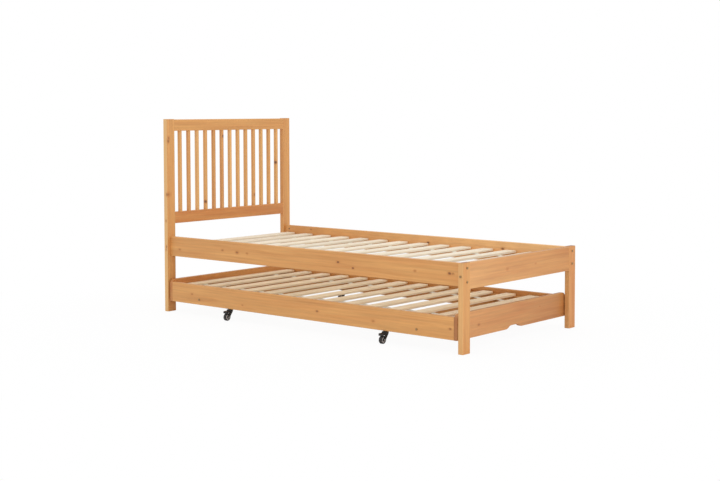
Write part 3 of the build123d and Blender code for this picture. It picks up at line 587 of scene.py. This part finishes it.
def stained_pine(node_name, number, look):
    """Planed pine with honey stain under satin lacquer.

    To the eye: warm streaks along the board, darker ring lines, small brown knots that the lines bend
    round, dark cut ends, slightly paler rounded edges and a soft sheen.
    """
    low, high = (Vector(corner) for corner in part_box(node_name))
    size = high - low
    run = max(range(3), key=lambda axis: size[axis])
    thin = min(range(3), key=lambda axis: size[axis])
    material, tree, shader, place = begin_material("stained_pine." + node_name)
    here = place.outputs["Object"]
    off = add_node(tree, "VectorMath", {0: here, 1: (low + high) / 2}, operation="SUBTRACT")
    spot = add_node(tree, "VectorMath", {0: off, "Scale": MM}, operation="SCALE")
    seed = [start + step * number for start, step in zip(SEED_START, SEED_STEP)]
    # Each board was cut from another place in its log.
    pith = [PITH_STEP * (number * 5 % 7 - 3)] * 3
    pith[thin] = PITH_DEPTH + PITH_STEP * (number * 3 % 5)

    swirl = None
    if node_name in KNOTS:
        knot_gap, knot_core = knot_marks(tree, here, spot, run, seed, KNOTS[node_name])
        swirl = add_node(
            tree, "MapRange",
            {"Value": knot_gap, "From Min": 0.6, "From Max": 3.4, "To Min": 1.0, "To Max": 0.0},
            interpolation_type="SMOOTHSTEP")
    # Year rings in pine are 2 to 4 mm apart; they are drawn about twice as wide so that they show.
    rings = year_rings(tree, spot, run, seed, pith, look.ring_width, swirl)
    wood = stain_tone(tree, spot, run, seed, node_name, rings, look)
    # Painted light and shade along the board: paler towards its lit end, darker towards its shaded end.
    if node_name in PAINTED_LIGHT_ALONG_BOARD:
        wood = paint_light_along_board(tree, spot, run, size[run] * MM / 2, PAINTED_LIGHT_ALONG_BOARD[node_name], wood, look)
    fibre = along_grain(tree, spot, run, seed, STAINED_FIBRE, 2.0)
    streak = along_grain(tree, spot, run, seed, STAINED_STREAK, 3.0)
    both = add_node(tree, "Math", {0: fibre, 1: STAINED_FIBRE_SHARE, 2: streak}, operation="MULTIPLY_ADD")
    bright = add_node(
        tree, "MapRange",
        {"Value": both, "From Min": 0.5, "From Max": 0.95, "To Min": 0.89, "To Max": 1.10})
    wood = add_node(tree, "HueSaturation", {"Color": wood, "Value": bright})
    wood = worn_and_lit_faces(tree, place, spot, size, run, thin, node_name, wood, look)
    if node_name in KNOTS:
        halo = add_node(
            tree, "MapRange",
            {"Value": knot_gap, "From Min": 0.8, "From Max": 2.3, "To Min": 0.4, "To Max": 0.0},
            interpolation_type="SMOOTHSTEP")
        wood = add_node(tree, "Mix", {SHARE: halo, FIRST: wood, SECOND: look.red_heart}, data_type="RGBA")
        wood = add_node(tree, "Mix", {SHARE: knot_core, FIRST: wood, SECOND: look.knot}, data_type="RGBA")

    # Satin lacquer sinks into the open fibres, so its gloss is broken along the grain.
    gloss = add_node(
        tree, "MapRange",
        {"Value": fibre, "From Min": 0.3, "From Max": 0.7, "To Min": 0.40, "To Max": 0.52})
    relief = add_node(tree, "Math", {0: rings, 1: RING_RELIEF, 2: fibre}, operation="MULTIPLY_ADD")
    bump = add_node(tree, "Bump", {"Strength": 0.35, "Distance": 0.0002, "Height": relief})
    connect(tree, shader, {"Base Color": wood, "Roughness": gloss, "Normal": bump, "IOR": 1.5})
    return material


def plain_pine(node_name, spring_wood, summer_wood, look):
    """Planed pine left bare: pale and dry, each slat a little different, with a few pin knots, no sheen."""
    low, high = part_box(node_name)
    run = "XYZ".index("Y")
    material, tree, shader, place = begin_material("plain_pine." + node_name)
    start = (low[0], (low[1] + high[1]) / 2, (low[2] + high[2]) / 2)
    off = add_node(tree, "VectorMath", {0: place.outputs["Object"], 1: start}, operation="SUBTRACT")
    way = add_node(tree, "SeparateXYZ", {0: off})
    count = add_node(tree, "Math", {0: way.outputs["X"], 1: look.slat_pitch}, operation="DIVIDE")
    slat = add_node(tree, "Math", {0: count}, operation="FLOOR")
    board = add_node(tree, "TexWhiteNoise", {"W": slat}, noise_dimensions="1D")
    seed = add_node(tree, "VectorMath", {0: board.outputs["Color"], "Scale": SLAT_SEED}, operation="SCALE")
    spot = add_node(tree, "VectorMath", {0: off, "Scale": MM}, operation="SCALE")
    log = add_node(
        tree, "VectorMath", {0: board.outputs["Color"], 1: SLAT_LOG, 2: spot}, operation="MULTIPLY_ADD")
    rings = year_rings(tree, log, run, seed, SLAT_PITH, look.ring_width)
    soft = add_node(tree, "Math", {0: rings, 1: BARE_RING_SHARE}, operation="MULTIPLY")
    wood = add_node(tree, "Mix", {SHARE: soft, FIRST: spring_wood, SECOND: summer_wood}, data_type="RGBA")

    fibre = along_grain(tree, spot, run, seed, BARE_FIBRE, 2.0)
    streak = along_grain(tree, spot, run, seed, BARE_STREAK, 3.0)
    both = add_node(tree, "Math", {0: fibre, 1: BARE_FIBRE_SHARE, 2: streak}, operation="MULTIPLY_ADD")
    shade = add_node(
        tree, "MapRange",
        {"Value": both, "From Min": 0.55, "From Max": 0.95, "To Min": 0.93, "To Max": 1.04})
    tint = add_node(
        tree, "MapRange", {"Value": board.outputs["Value"], "To Min": 0.94, "To Max": 1.03})
    bright = add_node(tree, "Math", {0: shade, 1: tint}, operation="MULTIPLY")
    wood = add_node(tree, "HueSaturation", {"Color": wood, "Value": bright})
    cells = [1 / side for side in PIN_KNOT_CELL]
    pick = add_node(tree, "VectorMath", {0: spot, 1: cells, 2: seed}, operation="MULTIPLY_ADD")
    pins = add_node(tree, "TexVoronoi", {"Vector": pick, "Scale": 1.0})
    pin = add_node(
        tree, "MapRange",
        {"Value": pins.outputs["Distance"], "From Min": 0.05, "From Max": 0.10,
         "To Min": 0.75, "To Max": 0.0},
        interpolation_type="SMOOTHSTEP")
    wood = add_node(tree, "Mix", {SHARE: pin, FIRST: wood, SECOND: look.knot}, data_type="RGBA")

    dry = add_node(
        tree, "MapRange",
        {"Value": fibre, "From Min": 0.3, "From Max": 0.7, "To Min": 0.58, "To Max": 0.72})
    relief = add_node(tree, "Math", {0: rings, 1: RING_RELIEF, 2: fibre}, operation="MULTIPLY_ADD")
    bump = add_node(tree, "Bump", {"Strength": 0.4, "Distance": 0.0002, "Height": relief})
    connect(tree, shader, {"Base Color": wood, "Roughness": dry, "Normal": bump, "IOR": 1.5})
    return material


def turned_beech(look):
    """Turned beech dowel: even pinkish tan with short dark flecks along the grain."""
    material, tree, shader, place = begin_material("turned_beech")
    spot = add_node(tree, "VectorMath", {0: place.outputs["Object"], "Scale": MM}, operation="SCALE")
    fleck = along_grain(tree, spot, run=0, seed=(3.0, 8.0, 1.0), blotch=BEECH_FLECK, detail=2.0)
    share = add_node(tree, "MapRange", {"Value": fleck, "From Min": 0.4, "From Max": 0.68})
    wood = add_node(
        tree, "Mix", {SHARE: share, FIRST: look.beech, SECOND: look.beech_fleck}, data_type="RGBA")
    rough = add_node(tree, "MapRange", {"Value": fleck, "To Min": 0.5, "To Max": 0.68})
    connect(tree, shader, {"Base Color": wood, "Roughness": rough, "IOR": 1.5})
    return material


def woven_tape(look):
    """Woven polyester webbing: off white and matt, a herringbone of threads."""
    material, tree, shader, place = begin_material("woven_tape")
    spot = add_node(tree, "VectorMath", {0: place.outputs["Object"], "Scale": MM}, operation="SCALE")
    way = add_node(tree, "SeparateXYZ", {0: spot})
    # Threads are 0.5 mm; wider bundles stand for them so that they show.
    stripe = add_node(tree, "Math", {0: way.outputs["Y"], 1: look.stripe_width}, operation="PINGPONG")
    slope = add_node(
        tree, "Math", {0: stripe, 1: WEAVE_SLOPE, 2: way.outputs["X"]}, operation="MULTIPLY_ADD")
    turn = add_node(
        tree, "Math", {0: slope, 1: 2 * math.pi / look.thread_spacing}, operation="MULTIPLY")
    wave = add_node(tree, "Math", {0: turn}, operation="SINE")
    fluff = add_node(tree, "TexNoise", {"Vector": spot, "Scale": FLUFF_TUFTS, "Detail": 2.0})
    height = add_node(tree, "Math", {0: fluff, 1: FLUFF_HEIGHT, 2: wave}, operation="MULTIPLY_ADD")
    # Low places in the weave take the darker colour, painted shade between the threads.
    thread = add_node(tree, "MapRange", {"Value": height, "From Min": -0.6, "From Max": 1.2})
    cloth = add_node(
        tree, "Mix", {SHARE: thread, FIRST: look.shade, SECOND: look.thread}, data_type="RGBA")
    bump = add_node(tree, "Bump", {"Strength": 0.6, "Distance": 0.0004, "Height": height})
    connect(tree, shader, {
        "Base Color": cloth, "Normal": bump, "IOR": 1.5, "Roughness": 0.85, "Sheen Weight": 0.15})
    return material


def plated_steel(name, colour):
    """Turned and plated steel: the plating's colour under a soft sheen, slightly clouded."""
    material, tree, shader, place = begin_material(name)
    spot = add_node(tree, "VectorMath", {0: place.outputs["Object"], "Scale": MM}, operation="SCALE")
    cloud = add_node(tree, "TexNoise", {"Vector": spot, "Scale": PLATE_CLOUDS, "Detail": 3.0})
    dull = [DULL_PLATE * c for c in colour]
    plate = add_node(tree, "Mix", {SHARE: cloud, FIRST: dull, SECOND: colour}, data_type="RGBA")
    rough = add_node(
        tree, "MapRange",
        {"Value": cloud, "From Min": 0.3, "From Max": 0.7, "To Min": 0.28, "To Max": 0.46})
    connect(tree, shader, {"Base Color": plate, "Roughness": rough, "Metallic": 1.0})
    return material


def black_finish(name, colour):
    """Black moulded nylon or lacquered steel: deep black, half gloss, with a faint orange peel."""
    material, tree, shader, place = begin_material(name)
    spot = add_node(tree, "VectorMath", {0: place.outputs["Object"], "Scale": MM}, operation="SCALE")
    peel = add_node(tree, "TexNoise", {"Vector": spot, "Scale": PEEL_BUMPS, "Detail": 2.0})
    worn = [WORN_BLACK * c for c in colour]
    coat = add_node(tree, "Mix", {SHARE: peel, FIRST: colour, SECOND: worn}, data_type="RGBA")
    rough = add_node(
        tree, "MapRange",
        {"Value": peel, "From Min": 0.3, "From Max": 0.7, "To Min": 0.3, "To Max": 0.44})
    bump = add_node(tree, "Bump", {"Strength": 0.2, "Distance": 0.0002, "Height": peel})
    connect(tree, shader, {"Base Color": coat, "Roughness": rough, "Normal": bump, "IOR": 1.52})
    return material


def moulded_wheel(node_name, look):
    """Two-shot moulded wheel: matt charcoal tyre and hub, pale grey disc between them, scuffed tread."""
    low, high = (Vector(corner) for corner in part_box(node_name))
    material, tree, shader, place = begin_material("moulded_wheel." + node_name)
    off = add_node(
        tree, "VectorMath", {0: place.outputs["Object"], 1: (low + high) / 2}, operation="SUBTRACT")
    flat = add_node(tree, "VectorMath", {0: off, 1: (0.0, 1.0, 1.0)}, operation="MULTIPLY")
    radius = add_node(tree, "VectorMath", {0: flat}, operation="LENGTH")
    spot = add_node(tree, "VectorMath", {0: off, "Scale": MM}, operation="SCALE")
    scuff = add_node(tree, "TexNoise", {"Vector": spot, "Scale": SCUFFS, "Detail": 3.0})
    pale = [SCUFFED_TYRE * c for c in look.tyre]
    rubber = add_node(tree, "Mix", {SHARE: scuff, FIRST: look.tyre, SECOND: pale}, data_type="RGBA")
    inside = add_node(
        tree, "MapRange",
        {"Value": radius, "From Min": look.disc_outer - look.disc_blend,
         "From Max": look.disc_outer + look.disc_blend, "To Min": 1.0, "To Max": 0.0})
    outside = add_node(
        tree, "MapRange",
        {"Value": radius, "From Min": look.disc_inner - look.disc_blend,
         "From Max": look.disc_inner + look.disc_blend})
    disc = add_node(tree, "Math", {0: inside, 1: outside}, operation="MULTIPLY")
    colour = add_node(
        tree, "Mix", {SHARE: disc, FIRST: rubber, SECOND: look.wheel_disc}, data_type="RGBA")
    rough = add_node(
        tree, "MapRange",
        {"Value": scuff, "From Min": 0.3, "From Max": 0.7, "To Min": 0.45, "To Max": 0.65})
    connect(tree, shader, {"Base Color": colour, "Roughness": rough, "IOR": 1.49})
    return material


def new_piece(name, points, faces, body, material):
    """A mesh piece that rides on a body and takes the material that it is given."""
    mesh = bpy.data.meshes.new(name)
    mesh.from_pydata(points, [], faces)
    mesh.materials.append(material)
    mesh.update()
    piece = bpy.data.objects.new(name, mesh)
    bpy.context.scene.collection.objects.link(piece)
    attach(piece, body)
    return piece


def slat_count(low, high, slats):
    """How many slats lie between two ends."""
    return round((high[0] - low[0] - slats.slat_width) / slats.slat_pitch) + 1


def tape_line(low, high, slats, look):
    """Side view of a tape: turned under at both ends, flat under each slat, sagging between them."""
    under = low[2] - TAPE_GAP - look.thickness / 2
    fold = under - look.thickness - FOLD_GAP
    bulge = (under + fold) / 2
    start = low[0] + FOLD_INSET
    stop = high[0] - FOLD_INSET
    line = [
        (start + look.turned_under, fold), (start + FOLD_BEND, fold), (start, bulge),
        (start + FOLD_BEND, under),
    ]
    gap = slats.slat_pitch - slats.slat_width
    for i in range(slat_count(low, high, slats) - 1):
        edge = low[0] + i * slats.slat_pitch + slats.slat_width
        for step in range(SAG_STEPS + 1):
            t = step / SAG_STEPS
            line.append((edge + gap * t, under - 4 * look.sag * t * (1 - t)))
    line += [
        (stop - FOLD_BEND, under), (stop, bulge), (stop - FOLD_BEND, fold),
        (stop - look.turned_under, fold),
    ]
    return line


def staple(points, faces, x, y, crown):
    """One wire staple across a tape: a crown under the tape and two legs up into the slat."""
    path = [
        (-STAPLE_HALF, STAPLE_LEG), (-STAPLE_HALF, STAPLE_BEND), (-STAPLE_HALF + STAPLE_BEND, 0),
        (STAPLE_HALF - STAPLE_BEND, 0), (STAPLE_HALF, STAPLE_BEND), (STAPLE_HALF, STAPLE_LEG),
    ]
    first = len(points)
    for i, (out, up) in enumerate(path):
        before, after = path[max(i - 1, 0)], path[min(i + 1, len(path) - 1)]
        dy, dz = after[0] - before[0], after[1] - before[1]
        length = math.hypot(dy, dz)
        for k in range(WIRE_SIDES):
            angle = 2 * math.pi * k / WIRE_SIDES
            side = STAPLE_WIRE * math.sin(angle)
            points.append((
                x + STAPLE_WIRE * math.cos(angle), y + out - side * dz / length,
                crown + up + side * dy / length))
    for i in range(len(path) - 1):
        ring = first + i * WIRE_SIDES
        for k in range(WIRE_SIDES):
            corner, beside = ring + k, ring + (k + 1) % WIRE_SIDES
            faces.append((corner, beside, beside + WIRE_SIDES, corner + WIRE_SIDES))
    last = first + (len(path) - 1) * WIRE_SIDES
    faces.append(tuple(first + k for k in reversed(range(WIRE_SIDES))))
    faces.append(tuple(last + k for k in range(WIRE_SIDES)))


class BED_OT_stain_boards(bpy.types.Operator):
    """Give every stained board its own grain, knots and tone"""
    bl_idname = "trundle_bed.stain_boards"
    bl_label = "Stain boards"

    def execute(self, context):
        boards = sorted(name for name, slot in SLOT_OF.items() if slot == "stained_pine")
        for number, board in enumerate(boards):
            give(board, stained_pine(board, number, context.scene.stained_pine_look))
        return {"FINISHED"}


class BED_OT_plane_slats(bpy.types.Operator):
    """Give the slats of both beds bare pine, and the dowels beech"""
    bl_idname = "trundle_bed.plane_slats"
    bl_label = "Plane slats"

    def execute(self, context):
        look = context.scene.plain_pine_look
        give("bed_slats", plain_pine("bed_slats", look.spring_wood, look.summer_wood, look))
        # The low bed's slats take the lighter copy of the pine colours, painted light against the shade
        # under the upper bed.
        give("trundle_slats", plain_pine(
            "trundle_slats", look.low_bed_lit_spring_wood, look.low_bed_lit_summer_wood, look))
        give("trundle_dowels", turned_beech(context.scene.caster_look))
        return {"FINISHED"}


class BED_OT_lay_tapes(bpy.types.Operator):
    """Lay two woven tapes under the slats of each bed and staple them"""
    bl_idname = "trundle_bed.lay_tapes"
    bl_label = "Lay tapes"

    def execute(self, context):
        look = context.scene.tape_look
        slats = context.scene.plain_pine_look
        webbing = woven_tape(look)
        steel = plated_steel("zinc_plated_staples", context.scene.caster_look.zinc)
        for bed, body in (("bed", "bed_frame"), ("trundle", "trundle")):
            low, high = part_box(bed + "_slats")
            tape_low, tape_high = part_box(bed + "_slat_tapes")
            middles = {"near": tape_low[1] + look.width / 2, "far": tape_high[1] - look.width / 2}
            line = tape_line(low, high, slats, look)
            wire_points, wire_faces = [], []
            for side, middle in middles.items():
                self.lay_tape(bed, body, side, middle, line, look, webbing)
                self.staple_tape(wire_points, wire_faces, low, high, middle, slats, look)
            new_piece(bed + "_tape_staples", wire_points, wire_faces, body, steel)
        return {"FINISHED"}

    def lay_tape(self, bed, body, side, middle, line, look, webbing):
        """One tape along the line, thickened evenly to both sides."""
        row = TAPE_STRIPS + 1
        across = [middle + look.width * (j / TAPE_STRIPS - 0.5) for j in range(row)]
        points = [(x, y, z) for x, z in line for y in across]
        corners = [i * row + j for i in range(len(line) - 1) for j in range(TAPE_STRIPS)]
        faces = [(corner, corner + 1, corner + row + 1, corner + row) for corner in corners]
        tape = new_piece(f"{bed}_tape_{side}", points, faces, body, webbing)
        thick = tape.modifiers.new("Thickness", "SOLIDIFY")
        thick.thickness = look.thickness
        thick.offset = 0
        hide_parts(bed + "_slat_tapes")

    def staple_tape(self, points, faces, low, high, middle, slats, look):
        """Two staples in each slat; those in the turned ends go through both layers."""
        crown = low[2] - STAPLE_DROP - look.thickness
        last = slat_count(low, high, slats) - 1
        for i in range(last + 1):
            place = low[0] + i * slats.slat_pitch + slats.slat_width / 2
            for shift in (-STAPLE_SPREAD, STAPLE_SPREAD):
                folded = i in (0, last) and (i == 0) == (shift < 0)
                drop = look.thickness + FOLD_GAP if folded else 0
                staple(points, faces, place + shift, middle + STAPLE_STAGGER * (-1) ** i, crown - drop)


class BED_OT_plate_fixings(bpy.types.Operator):
    """Give the bolts their bronzed plating, and nuts, screws, inserts and axles their zinc"""
    bl_idname = "trundle_bed.plate_fixings"
    bl_label = "Plate fixings"

    def execute(self, context):
        look = context.scene.caster_look
        steel = {
            "zinc_steel": plated_steel("zinc_plated_steel", look.zinc),
            "bronzed_steel": plated_steel("bronze_plated_steel", look.bronze),
        }
        for name, slot in SLOT_OF.items():
            if slot in steel:
                give(name, steel[slot])
        return {"FINISHED"}


class BED_OT_finish_casters(bpy.types.Operator):
    """Colour the moulded forks and wheels, and lacquer the stems"""
    bl_idname = "trundle_bed.finish_casters"
    bl_label = "Finish casters"

    def execute(self, context):
        look = context.scene.caster_look
        black = {
            "black_steel": black_finish("black_lacquer", look.fork_black),
            "black_plastic": black_finish("moulded_nylon", look.fork_black),
        }
        for name, slot in SLOT_OF.items():
            if slot in black:
                give(name, black[slot])
            elif slot == "wheel_plastic":
                give(name, moulded_wheel(name, look))
        return {"FINISHED"}


class BED_OT_set_stage(bpy.types.Operator):
    """Lay the white floor, set soft light and the camera"""
    bl_idname = "trundle_bed.set_stage"
    bl_label = "Set stage"

    def execute(self, context):
        scene = context.scene
        look = scene.studio_look
        scene.view_settings.view_transform = "Standard"
        self.lay_floor(scene, look)
        self.set_light(scene, look)
        data = bpy.data.cameras.new("bed_camera")
        data.sensor_width = look.sensor
        data.lens = look.lens
        data.shift_y = look.rise
        camera = bpy.data.objects.new("bed_camera", data)
        camera.location = look.camera_place
        camera.rotation_euler = look.camera_turn
        scene.collection.objects.link(camera)
        scene.camera = camera
        return {"FINISHED"}

    def lay_floor(self, scene, look):
        """White paper that keeps the bed's soft shadow and fades to plain white away from it."""
        reach = FLOOR_REACH
        mesh = bpy.data.meshes.new("paper_floor")
        corners = [(-reach, -reach, 0), (reach, -reach, 0), (reach, reach, 0), (-reach, reach, 0)]
        mesh.from_pydata(corners, [], [(0, 1, 2, 3)])
        paper = bpy.data.materials.new("studio_paper")
        paper.use_nodes = True
        tree = paper.node_tree
        tree.nodes.clear()
        seen = add_node(tree, "LightPath", {})
        place = add_node(tree, "TexCoord", {})
        away = add_node(tree, "VectorMath", {0: place.outputs["Object"]}, operation="LENGTH")
        plain = add_node(
            tree, "MapRange",
            {"Value": away, "From Min": look.shadow_reach, "From Max": look.shadow_end,
             "To Min": look.least_white},
            interpolation_type="SMOOTHSTEP")
        share = add_node(
            tree, "Math", {0: seen.outputs["Is Camera Ray"], 1: plain}, operation="MULTIPLY")
        matt = add_node(tree, "BsdfDiffuse", {"Color": look.paper})
        white = add_node(tree, "Emission", {"Color": WHITE, "Strength": 1.0})
        mixed = add_node(tree, "MixShader", {0: share, 1: matt, 2: white})
        add_node(tree, "OutputMaterial", {"Surface": mixed})
        mesh.materials.append(paper)
        floor = bpy.data.objects.new("paper_floor", mesh)
        scene.collection.objects.link(floor)

    def set_light(self, scene, look):
        """Even light from all round, white to the eye, and three broad soft lamps."""
        world = bpy.data.worlds.new("white_studio")
        world.use_nodes = True
        tree = world.node_tree
        tree.nodes.clear()
        seen = add_node(tree, "LightPath", {})
        level = add_node(
            tree, "MapRange", {"Value": seen.outputs["Is Camera Ray"], "To Min": look.sky_light})
        sky = add_node(tree, "Background", {"Color": WHITE, "Strength": level})
        add_node(tree, "OutputWorld", {"Surface": sky})
        scene.world = world
        for name, place, size in LAMPS:
            lamp = bpy.data.lights.new(name + "_lamp", "AREA")
            lamp.energy = getattr(look, name + "_power")
            lamp.size = size
            stand = bpy.data.objects.new(name + "_lamp", lamp)
            stand.location = place
            aim = Vector(LAMP_AIM) - Vector(place)
            stand.rotation_euler = aim.to_track_quat("-Z", "Y").to_euler()
            scene.collection.objects.link(stand)


class BED_PT_sidebar(bpy.types.Panel):
    """Lists the looks and the steps that finish the bed"""
    bl_idname = "BED_PT_sidebar"
    bl_label = "Trundle bed"
    bl_space_type = "VIEW_3D"
    bl_region_type = "UI"
    bl_category = "Trundle bed"

    def draw(self, context):
        for look in LOOKS:
            box = self.layout.box()
            held = getattr(context.scene, look)
            for name in held.bl_rna.properties.keys():
                if name not in {"rna_type", "name"}:
                    box.prop(held, name)
        for step in STEPS:
            self.layout.operator(step.bl_idname)


LOOKS = {
    "stained_pine_look": StainedPineLook,
    "plain_pine_look": PlainPineLook,
    "tape_look": TapeLook,
    "caster_look": CasterLook,
    "studio_look": StudioLook,
}
STEPS = (
    BED_OT_stain_boards, BED_OT_plane_slats, BED_OT_lay_tapes, BED_OT_plate_fixings,
    BED_OT_finish_casters, BED_OT_set_stage,
)
CLASSES = (*LOOKS.values(), *STEPS, BED_PT_sidebar)


def register():
    """Make the looks, the steps and the panel known to Blender."""
    for kind in CLASSES:
        bpy.utils.register_class(kind)
    for name, kind in LOOKS.items():
        setattr(bpy.types.Scene, name, bpy.props.PointerProperty(type=kind))


def unregister():
    """Take them away again."""
    for name in LOOKS:
        delattr(bpy.types.Scene, name)
    for kind in reversed(CLASSES):
        bpy.utils.unregister_class(kind)


def main():
    """Finish the bed step by step."""
    register()
    bpy.ops.trundle_bed.stain_boards()
    bpy.ops.trundle_bed.plane_slats()
    bpy.ops.trundle_bed.lay_tapes()
    bpy.ops.trundle_bed.plate_fixings()
    bpy.ops.trundle_bed.finish_casters()
    bpy.ops.trundle_bed.set_stage()


if __name__ == "__main__":
    main()
